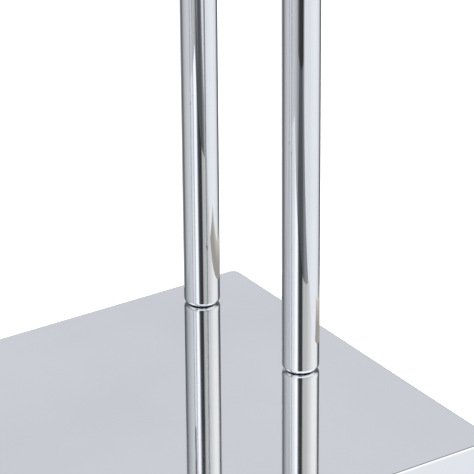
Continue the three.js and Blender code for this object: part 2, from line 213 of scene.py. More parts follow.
walnutLook = {
    "dark": "#2d1a10",
    "middle": "#54331f",
    "light": "#7b5233",
    "figureMm": 13.0,   # width of one light and dark figure across the grain
    "poreMm": 0.8,      # drawn three times as wide as real pores, or they wouldn't show
    "lacquer": 0.55,
}


def lacqueredWalnut(name, grainAxis):
    # Walnut veneer under satin lacquer: brown figure along the grain, open pores, clear gloss.
    material, tree, surface, place = startMaterial(
        name, **{"Coat Weight": walnutLook["lacquer"], "Coat Roughness": 0.16})
    across = 1 / (walnutLook["figureMm"] * mm)
    porous = 1 / (walnutLook["poreMm"] * mm)
    figureScale = [across, across, across]
    poreScale = [porous, porous, porous]
    figureScale[grainAxis] = across * 0.045
    poreScale[grainAxis] = porous * 0.025
    figureMap = addNode(tree, "ShaderNodeMapping", {"Scale": figureScale}, {"Vector": place})
    poreMap = addNode(tree, "ShaderNodeMapping", {"Scale": poreScale}, {"Vector": place})
    figure = addNode(tree, "ShaderNodeTexNoise",
                     {"Scale": 1.0, "Detail": 7.0, "Roughness": 0.58, "Distortion": 0.5},
                     {"Vector": figureMap.outputs[0]})
    pores = addNode(tree, "ShaderNodeTexNoise", {"Scale": 1.0, "Detail": 4.0},
                    {"Vector": poreMap.outputs[0]})
    colour = addNode(tree, "ShaderNodeValToRGB", None, {"Fac": figure.outputs[0]})
    setStops(colour, [(0.3, toLinear(walnutLook["dark"])), (0.5, toLinear(walnutLook["middle"])),
                      (0.72, toLinear(walnutLook["light"]))])
    poreShade = addNode(tree, "ShaderNodeValToRGB", None, {"Fac": pores.outputs[0]})
    setStops(poreShade, [(0.36, (0.35, 0.3, 0.27, 1)), (0.5, (1, 1, 1, 1))])
    wood = addNode(tree, "ShaderNodeMix",
                   {"data_type": "RGBA", "blend_type": "MULTIPLY", "Factor": 1.0})
    tree.links.new(colour.outputs[0], wood.inputs[6])
    tree.links.new(poreShade.outputs[0], wood.inputs[7])
    tree.links.new(wood.outputs[2], surface.inputs["Base Color"])
    gloss = addNode(tree, "ShaderNodeMapRange", {"To Min": 0.52, "To Max": 0.34},
                    {"Value": figure.outputs[0]})
    tree.links.new(gloss.outputs[0], surface.inputs["Roughness"])
    bumpInto(tree, surface, pores.outputs[0], 0.18, 0.08 * mm)
    return material


clothLook = {"thread": "#8b8d91", "gap": "#3f4145", "fleck": "#a3a5a8", "threadMm": 1.6}


def wovenPressCloth():
    # Plain-woven wool press cloth: over and under threads, a little fuzz, no shine.
    material, tree, surface, place = startMaterial(
        "woven_press_cloth", Roughness=0.92, **{"Sheen Weight": 0.25, "Sheen Roughness": 0.5})
    turns = 1 / (clothLook["threadMm"] * mm)
    waves = []
    for axis in ("X", "Z"):
        waves.append(addNode(tree, "ShaderNodeTexWave", {
            "bands_direction": axis, "Scale": turns / 2, "Distortion": 0.5, "Detail": 1.0,
            "Detail Scale": 1.5}, {"Vector": place}).outputs["Fac"])
    weave = addNode(tree, "ShaderNodeMath", {"operation": "MULTIPLY"}, {0: waves[0], 1: waves[1]})
    yarn = addNode(tree, "ShaderNodeTexNoise", {"Scale": 160.0, "Detail": 5.0}, {"Vector": place})
    shade = addNode(tree, "ShaderNodeMath", {"operation": "MULTIPLY_ADD", 1: 0.7},
                    {0: weave.outputs[0], 2: yarn.outputs[0]})
    colour = addNode(tree, "ShaderNodeValToRGB", None, {"Fac": shade.outputs[0]})
    setStops(colour, [(0.4, toLinear(clothLook["gap"])), (0.72, toLinear(clothLook["thread"])),
                      (1.0, toLinear(clothLook["fleck"]))])
    tree.links.new(colour.outputs[0], surface.inputs["Base Color"])
    bumpInto(tree, surface, shade.outputs[0], 0.6, 0.35 * mm)
    return material


def grainedLeather():
    # Pigmented hide: pebbled grain, slightly lighter where it is rubbed.
    material, tree, surface, place = startMaterial("grained_leather")
    pebble = addNode(tree, "ShaderNodeTexVoronoi", {"Scale": 1 / (1.5 * mm)}, {"Vector": place})
    rubbed = addNode(tree, "ShaderNodeTexNoise", {"Scale": 26.0, "Detail": 5.0},
                     {"Vector": place})
    colour = addNode(tree, "ShaderNodeValToRGB", None, {"Fac": rubbed.outputs[0]})
    setStops(colour, [(0.35, toLinear("#241a15")), (0.72, toLinear("#40302a"))])
    tree.links.new(colour.outputs[0], surface.inputs["Base Color"])
    gloss = addNode(tree, "ShaderNodeMapRange", {"To Min": 0.42, "To Max": 0.62},
                    {"Value": rubbed.outputs[0]})
    tree.links.new(gloss.outputs[0], surface.inputs["Roughness"])
    bumpInto(tree, surface, pebble.outputs["Distance"], 0.5, 0.3 * mm)
    return material


def twistedThread():
    # Waxed polyester thread: pale against the cloth, with a slanting twist.
    material, tree, surface, place = startMaterial("twisted_seam_thread", Roughness=0.55)
    twist = addNode(tree, "ShaderNodeTexWave", {
        "bands_direction": "DIAGONAL", "Scale": 1 / (1.2 * mm), "Distortion": 0.6},
        {"Vector": place})
    colour = addNode(tree, "ShaderNodeValToRGB", None, {"Fac": twist.outputs["Fac"]})
    setStops(colour, [(0.2, toLinear("#6d6457")), (0.8, toLinear("#b3a890"))])
    tree.links.new(colour.outputs[0], surface.inputs["Base Color"])
    bumpInto(tree, surface, twist.outputs["Fac"], 0.4, 0.1 * mm)
    return material


tubeChrome = polishedChrome("polished_chrome_tube", True)
sheetChrome = polishedChrome("polished_chrome_sheet", False)
zincSteel = platedSteel("bright_zinc_steel", ("#9c9ea2", "#c4c6c9"), 0.3, 0.5)
nickelSteel = platedSteel("satin_nickel_steel", ("#8e8d8a", "#b6b4af"), 0.34, 0.4)
springSteel = platedSteel("oiled_spring_wire", ("#55565a", "#7d7e82"), 0.28, 0.3)
blackPaint = paintedPlate()
footRubber = mouldedRubber("moulded_foot_rubber", "#161617", "#2a2a2b")
ringRubber = mouldedRubber("cut_rubber_washer", "#1a1b1d", "#2d2e30")
uprightWalnut = lacqueredWalnut("lacquered_walnut_upright", 2)
lyingWalnut = lacqueredWalnut("lacquered_walnut_lying", 0)
pressCloth = wovenPressCloth()
linerLeather = grainedLeather()
seamThread = twistedThread()
print("finishes made")


def addPiece(name, bm, material, body, replaced=(), weighted=False):
    mesh = bpy.data.meshes.new(name)
    for face in bm.faces:
        face.smooth = True
    bm.to_mesh(mesh)
    bm.free()
    mesh.materials.append(material)
    piece = bpy.data.objects.new(name, mesh)
    bpy.context.collection.objects.link(piece)
    if weighted:
        piece.modifiers.new("flatFaces", "WEIGHTED_NORMAL").keep_sharp = True
    if replaced:
        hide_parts(*replaced)
    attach(piece, body)
    return piece


def settle(bm, sharpDegrees=None):
    # merge doubles, turn all faces outwards and mark the hard edges
    bmesh.ops.remove_doubles(bm, verts=bm.verts, dist=0.005 * mm)
    bmesh.ops.recalc_face_normals(bm, faces=bm.faces)
    if sharpDegrees:
        for edge in sharpEdges(bm, sharpDegrees):
            edge.smooth = False
    return bm


def sharpEdges(bm, degrees):
    limit = math.radians(degrees)
    return [e for e in bm.edges if len(e.link_faces) == 2 and e.calc_face_angle(0) > limit]


def softenEdges(bm, edges, offset, segments):
    bmesh.ops.bevel(bm, geom=edges, offset=offset, segments=segments, profile=0.5,
                    affect="EDGES", material=-1, clamp_overlap=True)


def roundedBlock(low, high, thinAxis, cornerRadius, edgeRadius, cornerSteps=10, edgeSteps=4):
    # a block with its corners rounded round thinAxis, then all its rims softened
    low, high = Vector(low), Vector(high)
    bm = bmesh.new()
    bmesh.ops.create_cube(bm, size=1.0)
    bmesh.ops.scale(bm, vec=high - low, verts=bm.verts)
    bmesh.ops.translate(bm, vec=(low + high) / 2, verts=bm.verts)
    along = Vector((0, 0, 0))
    along[thinAxis] = 1
    upright = [e for e in bm.edges
               if abs((e.verts[0].co - e.verts[1].co).normalized().dot(along)) > 0.9]
    softenEdges(bm, upright, cornerRadius, cornerSteps)
    if edgeRadius:
        softenEdges(bm, sharpEdges(bm, 60), edgeRadius, edgeSteps)
    return bm


def turnedPiece(profile, centre, axis="Z", steps=48):
    # profile is (radius, height) points in mm, turned about axis through centre
    bm = bmesh.new()
    points = [bm.verts.new((radius * mm, 0, height * mm)) for radius, height in profile]
    edges = [bm.edges.new(pair) for pair in zip(points, points[1:])]
    bmesh.ops.spin(bm, geom=points + edges, cent=(0, 0, 0), axis=(0, 0, 1),
                   angle=2 * math.pi, steps=steps, use_merge=True)
    if axis == "-Y":
        bmesh.ops.rotate(bm, cent=(0, 0, 0), matrix=Matrix.Rotation(math.pi / 2, 3, "X"),
                         verts=bm.verts)
    elif axis == "X":
        bmesh.ops.rotate(bm, cent=(0, 0, 0), matrix=Matrix.Rotation(math.pi / 2, 3, "Y"),
                         verts=bm.verts)
    bmesh.ops.translate(bm, vec=centre, verts=bm.verts)
    return settle(bm, 35)


def extrudeRing(bm, ring, move, scale=1.0):
    # draws the open ring of edges out by move, and scales the new ring about its middle
    made = bmesh.ops.extrude_edge_only(bm, edges=ring)["geom"]
    verts = [item for item in made if isinstance(item, bmesh.types.BMVert)]
    edges = [item for item in made if isinstance(item, bmesh.types.BMEdge)
             and item.verts[0] in verts and item.verts[1] in verts]
    bmesh.ops.translate(bm, vec=move, verts=verts)
    if scale != 1.0:
        middle = sum((v.co for v in verts), Vector()) / len(verts)
        bmesh.ops.scale(bm, vec=(scale, scale, scale), verts=verts,
                        space=Matrix.Translation(-middle))
    return edges


def spinRing(bm, ring, centre, axis, angle, steps):
    verts = list({v for e in ring for v in e.verts})
    last = bmesh.ops.spin(bm, geom=verts + ring, cent=centre, axis=axis, angle=angle,
                          steps=steps, use_merge=False)["geom_last"]
    return [item for item in last if isinstance(item, bmesh.types.BMEdge)]


def capRing(bm, ring):
    bmesh.ops.edgeloop_fill(bm, edges=ring)


baseLook = {"sheet": 2.0, "corner": 6.0, "edge": 2.6}


def makeBaseCover():
    low, high = (Vector(v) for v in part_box("base_cover"))
    bm = roundedBlock(low, high, 2, baseLook["corner"] * mm, 0, 12)
    underside = [f for f in bm.faces if f.normal.z < -0.9]
    rim = [e for e in sharpEdges(bm, 60) if all(v.co.z > high.z - mm for v in e.verts)]
    bmesh.ops.delete(bm, geom=underside, context="FACES_ONLY")
    softenEdges(bm, rim, baseLook["edge"] * mm, 6)
    bmesh.ops.recalc_face_normals(bm, faces=bm.faces)
    bmesh.ops.solidify(bm, geom=bm.faces[:], thickness=baseLook["sheet"] * mm)
    bmesh.ops.recalc_face_normals(bm, faces=bm.faces)
    addPiece("base_cover_shell", bm, sheetChrome, "stand", ["base_cover"], True)


def makeFeet():
    for name in cornerNames:
        node = "rubber_foot_" + name
        low, high = (Vector(v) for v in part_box(node))
        height = (high.z - low.z) / mm
        centre = (low + high) / 2
        bm = turnedPiece([
            (3.3, 14), (7, 14), (7, 1), (7.6, 0), (12.6, 0), (13.7, 0.7), (14.1, 2), (14.3, 4),
            (13.8, 4.6), (13.8, 5.6), (14.4, 6.2), (14.9, height - 0.6), (14.4, height),
            (3.3, height), (3.3, 14)], (centre.x, centre.y, low.z))
        addPiece(node + "_moulded", bm, footRubber, "stand", [node])


makeBaseCover()
makeFeet()
print("base made")


tubeLook = {"around": 72, "bendSteps": 56, "endRound": 3.4, "endSteps": 6, "bore": 8.6,
            "boreShown": 4.0}


def makeHoops():
    lip = tubeLook["endRound"] * mm
    for name in sideNames:
        node = "side_hoop_" + name
        low, high = (Vector(v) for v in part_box(node))
        radius = (high.x - low.x) / 2
        middle = (low + high) / 2
        bend = (high.y - low.y) / 2 - radius
        bendZ = high.z - radius - bend
        bm = bmesh.new()
        verts = bmesh.ops.create_circle(bm, segments=tubeLook["around"], radius=radius)["verts"]
        bmesh.ops.translate(bm, vec=(middle.x, middle.y + bend, bendZ), verts=verts)
        rear = list(bm.edges)
        front = spinRing(bm, rear, (middle.x, middle.y, bendZ), (1, 0, 0), math.pi,
                         tubeLook["bendSteps"])
        for ring in (rear, front):
            makeTubeEnd(bm, ring, radius, bendZ - low.z, lip)
        addPiece(node + "_tube", settle(bm, 50), tubeChrome, "stand", [node])


def makeTubeEnd(bm, ring, radius, drop, lip):
    # straight leg, then a rounded-in lip, then a short way back up the bore
    for step in (-mm, lip - drop + 2 * mm, -mm):  # short steps keep the leg's shading level
        ring = extrudeRing(bm, ring, (0, 0, step))
    steps = tubeLook["endSteps"]
    for i in range(steps):
        before, after = (math.pi / 2 * k / steps for k in (i, i + 1))
        fall = lip * (math.sin(after) - math.sin(before))
        wide = radius - lip * (1 - math.cos(before))
        narrow = radius - lip * (1 - math.cos(after))
        ring = extrudeRing(bm, ring, (0, 0, -fall), narrow / wide)
    ring = extrudeRing(bm, ring, (0, 0, 0), tubeLook["bore"] * mm / (radius - lip))
    ring = extrudeRing(bm, ring, (0, 0, tubeLook["boreShown"] * mm))
    capRing(bm, ring)


railLook = {"weld": 0.14, "around": 40}  # weld fillet as a share of the radius


def makeRails():
    for node in ("rear_lower_rail", "rear_upper_rail", "top_rail", "tray_rail_front",
                 "tray_rail_rear"):
        low, high = (Vector(v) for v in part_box(node))
        radius = (high.z - low.z) / 2 / mm
        length = (high.x - low.x) / mm
        weld = railLook["weld"] * radius
        end = [(0, 0), (radius + weld, 0), (radius + weld * 0.9, weld * 0.8),
               (radius + weld * 0.4, weld * 1.8), (radius, weld * 3), (radius, weld * 3 + 1)]
        profile = end + [(r, length - h) for r, h in reversed(end)]
        bm = turnedPiece(profile, (low.x, (low.y + high.y) / 2, (low.z + high.z) / 2), "X",
                         railLook["around"])
        addPiece(node + "_tube", bm, tubeChrome, "stand", [node])


makeHoops()
makeRails()
print("tubes made")


boardLook = {"corner": 14.0, "edge": 3.0}


def makeBoards():
    for node, body in (("back_board", "stand"), ("front_board", "press_front")):
        low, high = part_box(node)
        bm = roundedBlock(low, high, 1, boardLook["corner"] * mm, boardLook["edge"] * mm)
        addPiece(node + "_veneered", bm, uprightWalnut, body, [node], True)


padLook = {
    "cells": (128, 104), "corner": 10.0, "edge": 1.5, "rise": 7.0,
    "channels": 5, "dip": 1.7, "dipWide": 3.2, "seamIn": 9.0, "seamCorner": 4.0,
    "fill": 0.45,
}


def depthInside(x, z, halfX, halfZ, corner):
    # distance inwards from the rounded outline
    overX, overZ = abs(x) - halfX + corner, abs(z) - halfZ + corner
    return corner - math.hypot(max(overX, 0), max(overZ, 0)) - min(max(overX, overZ), 0)


def roundCorner(x, z, halfX, halfZ, corner):
    overX, overZ = abs(x) - halfX + corner, abs(z) - halfZ + corner
    if overX <= 0 or overZ <= 0:
        return x, z
    shrink = max(overX, overZ) / math.hypot(overX, overZ)
    return (math.copysign(halfX - corner + overX * shrink, x),
            math.copysign(halfZ - corner + overZ * shrink, z))


def makePads():
    look = padLook
    for node, body, way in (("back_pad", "stand", -1), ("front_pad", "press_front", 1)):
        low, high = (Vector(v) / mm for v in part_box(node))
        middle, size = (low + high) / 2, high - low
        halfX, halfZ = size.x / 2, size.z / 2
        flat = high.y if way < 0 else low.y
        seams = [halfX * (2 * i / look["channels"] - 1) for i in range(1, look["channels"])]
        bm = bmesh.new()
        bmesh.ops.create_grid(bm, x_segments=look["cells"][0], y_segments=look["cells"][1],
                              size=1.0)
        for vert in bm.verts:
            x, z = roundCorner(vert.co.x * halfX, vert.co.y * halfZ, halfX, halfZ,
                               look["corner"])
            vert.co = (x, 0, z)
        made = bmesh.ops.extrude_face_region(bm, geom=bm.faces[:])["geom"]
        for vert in (item for item in made if isinstance(item, bmesh.types.BMVert)):
            x, z = vert.co.x, vert.co.z
            inside = depthInside(x, z, halfX, halfZ, look["corner"])
            thick = look["edge"] + (size.y - look["edge"]) * (1 - math.exp(-inside / look["rise"]))
            for seam in seams + [None]:
                away = (inside - look["seamIn"]) if seam is None else (x - seam)
                if seam is None or inside > look["seamIn"]:
                    thick -= look["dip"] * math.exp(-(away / look["dipWide"]) ** 2)
            vert.co.y = way * max(thick, 1.0)
        bmesh.ops.scale(bm, vec=(mm, mm, mm), verts=bm.verts)
        bmesh.ops.translate(bm, vec=Vector((middle.x, flat, middle.z)) * mm, verts=bm.verts)
        bmesh.ops.recalc_face_normals(bm, faces=bm.faces)
        piece = addPiece(node + "_quilted", bm, pressCloth, body, [node])
        sewPad(node, body, way, middle, size, flat, seams)


stitchLook = {"size": (2.7, 0.75, 0.55), "pitch": 4.2}  # mm; size is along, across and high


def sewPad(node, body, way, middle, size, flat, seams):
    # raised stitches down each channel and round the edge
    look = padLook
    bm = bmesh.new()
    pitch = stitchLook["pitch"]
    reach = size.z / 2 - look["seamIn"]
    surface = flat + way * (size.y - look["dip"] - 0.05)
    rows = [((seam, step), (0, 1)) for seam in seams
            for step in (pitch * k - reach + 3 for k in range(int(2 * (reach - 2) / pitch)))]
    edge = flat + way * (look["edge"] + (size.y - look["edge"]) * (
        1 - math.exp(-look["seamIn"] / look["rise"])) - look["dip"])
    loop = walkOutline(size.x / 2 - look["seamIn"], reach, look["seamCorner"], pitch)
    for places, y in ((rows, surface), (loop, edge)):
        for (x, z), (alongX, alongZ) in places:
            addStitch(bm, (middle.x + x, y, middle.z + z), (alongX, 0, alongZ), (0, way, 0))
    addPiece(node + "_stitches", bm, seamThread, body)


def walkOutline(halfX, halfY, corner, pitch):
    # places and directions along a rounded rectangle, one every pitch
    places = []
    for k in range(4):
        turn = math.pi / 2 * k
        out = Vector((math.cos(turn), math.sin(turn)))
        along = Vector((-math.sin(turn), math.cos(turn)))
        reach, side = (halfX, halfY) if k % 2 == 0 else (halfY, halfX)
        straight = side - corner
        count = max(1, round(2 * straight / pitch))
        for i in range(count):
            step = -straight + 2 * straight * (i + 0.5) / count
            places.append((out * reach + along * step, along))
        bends = max(1, round(math.pi / 2 * corner / pitch))
        for i in range(bends):
            angle = math.pi / 2 * (i + 0.5) / bends
            way = out * math.cos(angle) + along * math.sin(angle)
            heading = along * math.cos(angle) - out * math.sin(angle)
            places.append((out * (reach - corner) + along * straight + way * corner, heading))
    return places


def addStitch(bm, place, along, up):
    along, up = Vector(along).normalized(), Vector(up)
    across = up.cross(along)
    turn = Matrix((along, across, up)).transposed().to_4x4()
    size = Matrix.Diagonal([s * mm for s in stitchLook["size"]] + [1])
    bmesh.ops.create_icosphere(bm, subdivisions=1, radius=0.5,
                               matrix=Matrix.Translation(Vector(place) * mm) @ turn @ size)


handleLook = {"bend": 13.0, "bendSteps": 14}


def makeHandle():
    low, high = (Vector(v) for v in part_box("pull_handle"))
    radius = (high.z - low.z) / 2
    z = (high.z + low.z) / 2
    half = (high.x - low.x) / 2 - radius
    bend = handleLook["bend"] * mm
    steps = handleLook["bendSteps"]
    bar = low.y + radius
    bm = bmesh.new()
    verts = bmesh.ops.create_circle(bm, segments=32, radius=radius)["verts"]
    bmesh.ops.rotate(bm, cent=(0, 0, 0), matrix=Matrix.Rotation(math.pi / 2, 3, "X"), verts=verts)
    bmesh.ops.translate(bm, vec=(-half, high.y, z), verts=verts)
    start = list(bm.edges)
    ring = extrudeRing(bm, start, (0, bar + bend - high.y, 0))
    ring = spinRing(bm, ring, (-half + bend, bar + bend, z), (0, 0, 1), math.pi / 2, steps)
    ring = extrudeRing(bm, ring, (2 * (half - bend), 0, 0))
    ring = spinRing(bm, ring, (half - bend, bar + bend, z), (0, 0, 1), math.pi / 2, steps)
    ring = extrudeRing(bm, ring, (0, high.y - bar - bend, 0))
    for end in (start, ring):
        capRing(bm, end)
    addPiece("pull_handle_bar", settle(bm, 50), tubeChrome, "press_front",
             ["pull_handle"])
    for side in (-1, 1):  # a thin rose behind each end
        rose = turnedPiece([(5.05, 0.1), (8.2, 0.1), (8.2, 1.2), (7.4, 2.2), (5.05, 2.4),
                            (5.05, 0.1)], (side * half, high.y, z), "-Y", 40)
        addPiece("handle_rose_" + ("left" if side < 0 else "right"), rose, tubeChrome,
                 "press_front")


def makeScrew(name, place, axis, body, head, shank, length, replaced=()):
    # a pan head with a driving socket, and a plain shank; sizes in mm from the head's top
    radius, high = head
    bm = turnedPiece([
        (0, 0.5 * high), (0.4 * radius, 0.45 * high), (0.42 * radius, 0.04 * high),
        (0.5 * radius, 0), (0.72 * radius, 0.03 * high), (0.92 * radius, 0.3 * high),
        (radius, 0.62 * high), (radius, high), (shank, high), (shank, length - shank),
        (0, length)], place, axis, 32)
    addPiece(name, bm, zincSteel, body, replaced)


screwKinds = {  # node prefix: body, axis from head to tip, (head radius, head height), shank
    "foot_screw": ("stand", "Z", (6.0, 3.5), 3.0),
    "board_screw": ("stand", "-Y", (4.5, 3.0), 2.2),
    "handle_screw": ("press_front", "-Y", (4.0, 2.8), 1.9),
}


def makeScrews():
    for name in list(nodes):
        for prefix, (body, axis, head, shank) in screwKinds.items():
            if name.startswith(prefix):
                low, high = (Vector(v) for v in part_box(name))
                x, y, z = (low + high) / 2
                start = (x, y, low.z) if axis == "Z" else (x, high.y, z)
                length = (high.z - low.z if axis == "Z" else high.y - low.y) / mm
                makeScrew(name + "_turned", start, axis, body, head, shank, length, [name])


leafScrewLook = {"fromEnd": 9.0, "fromEdge": 7.0, "down": 4.1, "head": (3.1, 1.5),
                 "shank": 1.4, "length": 4.0}


def makeLeafScrews():
    look = leafScrewLook
    for side in sideNames:
        for kind, body in (("fixed", "stand"), ("moving", "press_front")):
            node = "hinge_" + kind + "_leaf_" + side
            low, high = (Vector(v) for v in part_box(node))
            inset, end = look["fromEdge"] * mm, look["fromEnd"] * mm
            y = high.y - inset if kind == "fixed" else low.y + inset
            for i, x in enumerate((low.x + end, high.x - end)):
                makeScrew("leaf_screw_" + kind + "_" + side + "_" + str(i + 1),
                          (x, y, high.z - look["down"] * mm), "Z", body, look["head"],
                          look["shank"], look["length"])


springLook = {"wire": 0.75, "turns": 5, "perTurn": 24}


def makeSprings():
    for side in sideNames:
        node = "closing_spring_" + side
        low, high = (Vector(v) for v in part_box(node))
        wire, perTurn = springLook["wire"] * mm, springLook["perTurn"]
        coil = (high.z - low.z) / 2 - wire
        curve = bpy.data.curves.new(node + "_wire", "CURVE")
        curve.dimensions = "3D"
        curve.bevel_depth = wire
        curve.bevel_resolution = 3
        curve.use_fill_caps = True
        spline = curve.splines.new("POLY")
        count = springLook["turns"] * perTurn
        spline.points.add(count)
        middle = (low + high) / 2
        for i in range(count + 1):
            angle = 2 * math.pi * i / perTurn
            x = low.x + wire + (high.x - low.x - 2 * wire) * i / count
            spline.points[i].co = (x, middle.y + coil * math.cos(angle),
                                   middle.z + coil * math.sin(angle), 1)
        piece = bpy.data.objects.new(node + "_wire", curve)
        bpy.context.collection.objects.link(piece)
        curve.materials.append(springSteel)
        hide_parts(node)
        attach(piece, "stand")


makeBoards()
makePads()
makeHandle()
makeScrews()
makeLeafScrews()
makeSprings()
print("press made")


trayLook = {"corner": 18.0, "wall": 3.0, "floor": 3.0, "edge": 0.9}


def makeTray():
    low, high = (Vector(v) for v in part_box("accessory_tray"))
    bm = roundedBlock(low, high, 2, trayLook["corner"] * mm, 0, 12)
    top = [f for f in bm.faces if f.normal.z > 0.9]
    bmesh.ops.inset_region(bm, faces=top, thickness=trayLook["wall"] * mm)
    down = bmesh.ops.extrude_discrete_faces(bm, faces=top)["faces"]
    bmesh.ops.translate(bm, vec=(0, 0, low.z + trayLook["floor"] * mm - high.z),
                        verts=list({v for f in down for v in f.verts}))
    addTrayWalls(bm)
    softenEdges(bm, sharpEdges(bm, 60), trayLook["edge"] * mm, 3)
    addPiece("accessory_tray_veneered", bm, lyingWalnut, "stand",
             ["accessory_tray"], True)


def addTrayWalls(bm):
    # the dropped floor and the rim are joined by the inner wall
    bmesh.ops.remove_doubles(bm, verts=bm.verts, dist=0.001 * mm)
    openEdges = [e for e in bm.edges if len(e.link_faces) == 1]
    if openEdges:
        bmesh.ops.bridge_loops(bm, edges=openEdges)
    bmesh.ops.recalc_face_normals(bm, faces=bm.faces)


linerLook = {"corner": 14.7, "edge": 0.9, "seamIn": 6.0, "seamCorner": 9.0}


def makeLiner():
    low, high = (Vector(v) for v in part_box("tray_liner"))
    middle, size = (low + high) / 2 / mm, (high - low) / mm
    bm = roundedBlock(low, high, 2, linerLook["corner"] * mm, linerLook["edge"] * mm, 10, 3)
    addPiece("tray_liner_hide", bm, linerLeather, "stand", ["tray_liner"], True)
    bm = bmesh.new()
    inset = linerLook["seamIn"]
    for (x, y), (alongX, alongY) in walkOutline(size.x / 2 - inset, size.y / 2 - inset,
                                                linerLook["seamCorner"], stitchLook["pitch"]):
        addStitch(bm, (middle.x + x, middle.y + y, high.z / mm), (alongX, alongY, 0), (0, 0, 1))
    addPiece("tray_liner_stitches", bm, seamThread, "stand")


hangerLook = {"slices": 48, "hub": 14.0, "shoulder": 21.0, "deep": 26.0, "tipDeep": 17.0,
              "drop": 40.0, "flareFrom": 0.25, "flarePower": 1.6, "tipFrom": 0.93,
              "tipLength": 0.07, "tipRound": 0.55, "edge": 5.0}


def makeHanger():
    look = hangerLook
    low, high = (Vector(v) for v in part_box("jacket_hanger"))
    half = (high.x - low.x) / 2
    y = (low.y + high.y) / 2
    top = high.z
    bm = bmesh.new()
    bmesh.ops.create_cube(bm, size=1.0)
    bmesh.ops.scale(bm, vec=(2 * half, 2, 2), verts=bm.verts)
    for i in range(1, look["slices"]):
        x = -half + 2 * half * i / look["slices"]
        bmesh.ops.bisect_plane(bm, geom=bm.verts[:] + bm.edges[:] + bm.faces[:],
                               plane_co=(x, 0, 0), plane_no=(1, 0, 0))
    for vert in bm.verts:
        along = abs(vert.co.x) / half
        flare = max(0.0, (along - look["flareFrom"]) / (1 - look["flareFrom"]))
        flare = flare ** look["flarePower"]
        wide = look["hub"] + (look["shoulder"] - look["hub"]) * flare
        tip = max(0.0, (along - look["tipFrom"]) / look["tipLength"])
        wide *= math.sqrt(max(0.0, 1 - tip ** 2 * look["tipRound"]))
        fall = look["drop"] * along ** 2
        deep = look["deep"] + (look["tipDeep"] - look["deep"]) * along ** 2
        upper = top - fall * mm
        vert.co.z = upper if vert.co.z > 0 else upper - deep * mm
        vert.co.y = y + math.copysign(wide * mm, vert.co.y)
    softenEdges(bm, sharpEdges(bm, 50), look["edge"] * mm, 6)
    addPiece("jacket_hanger_shaped", bm, lyingWalnut, "hanger_arms",
             ["jacket_hanger"], True)


postLook = {"seat": 26.3, "boreDeep": 20}  # seat: hanger top down to the stem's shoulder


def makeHangerPost():
    centre = middleOf("hanger_stem")
    low, high = (Vector(v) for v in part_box("hanger_stem"))
    shoulder = (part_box("jacket_hanger")[1][2] / mm - postLook["seat"]) - low.z / mm
    length = (high.z - low.z) / mm
    bm = turnedPiece([(0, 0), (5.5, 0), (6, 0.5), (6, 1.5), (6, shoulder - 1.4),
                      (6, shoulder - 0.4), (5.6, shoulder), (4, shoulder), (4, length),
                      (0, length)], (centre.x, centre.y, low.z))
    addPiece("hanger_stem_rod", bm, tubeChrome, "hanger_post", ["hanger_stem"])

    low, high = (Vector(v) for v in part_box("hanger_finial"))
    height = (high.z - low.z) / mm
    profile = [(0, 0.2), (7, 0.2), (8.6, 0.9), (9, 2)]
    dome = [(9 * math.cos(a), 3.4 + (height - 3.4) * math.sin(a))
            for a in (math.pi / 2 * k / 10 for k in range(11))]
    bm = turnedPiece(profile + dome[:-1] + [(0, height)], (centre.x, centre.y, low.z))
    addPiece("hanger_finial_turned", bm, tubeChrome, "hanger_arms", ["hanger_finial"])

    low, high = (Vector(v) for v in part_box("hanger_sleeve"))
    length = (high.z - low.z) / mm
    boreDeep = postLook["boreDeep"]
    bm = turnedPiece([(0, 0), (10.6, 0), (11.6, 0.5), (12, 1.5), (12, 2.5),
                      (12, length - 2.5), (12, length - 1.5), (11.6, length - 0.5),
                      (10.6, length), (6.4, length), (6.4, length - boreDeep),
                      (0, length - boreDeep)],
                     (centre.x, centre.y, low.z), "Z", 56)
    addPiece("hanger_sleeve_turned", bm, tubeChrome, "stand", ["hanger_sleeve"])


knobLook = {"grip": 12.6, "tip": 6.0, "knurls": 24, "knurl": 0.028}


def makeKnob():
    low, high = (Vector(v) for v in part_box("clamp_knob"))
    z = (low.z + high.z) / 2
    x = (low.x + high.x) / 2
    length = (high.y - low.y) / mm
    tip, grip = knobLook["tip"], knobLook["grip"]
    bm = turnedPiece([(0, 0), (3, 0), (3, tip), (7.4, tip), (8.2, tip + 0.6), (8.6, tip + 3.4),
                      (12.2, tip + 5), (grip, tip + 5.6), (grip, length - 2.2),
                      (11.8, length - 1), (10.4, length - 0.2), (9, length - 0.6), (0, length)],
                     (x, high.y, z), "-Y", 96)
    for vert in bm.verts:  # knurled grip
        reach = Vector((vert.co.x - x, vert.co.z - z))
        if abs(reach.length - grip * mm) < 0.05 * mm:
            angle = math.atan2(reach.y, reach.x)
            scale = 1 + knobLook["knurl"] * math.cos(knobLook["knurls"] * angle)
            vert.co.x = x + reach.x * scale
            vert.co.z = z + reach.y * scale
    addPiece("clamp_knob_turned", bm, tubeChrome, "clamp", ["clamp_knob"])


makeTray()
makeLiner()
makeHanger()
makeHangerPost()
makeKnob()
print("tray and hanger made")


def dress(prefix, material):
    # gives a finish to pieces that keep their first shape
    for name, node in nodes.items():
        if name.startswith(prefix):
            node.data.materials.clear()
            node.data.materials.append(material)


for prefix, material in (
        ("ballast_plate", blackPaint), ("post_plug", zincSteel), ("post_bolt", zincSteel),
        ("post_seat_ring", ringRubber), ("hinge_fixed_leaf", nickelSteel),
        ("hinge_moving_leaf", nickelSteel), ("hinge_pin", nickelSteel)):
    dress(prefix, material)
print("plain pieces dressed")


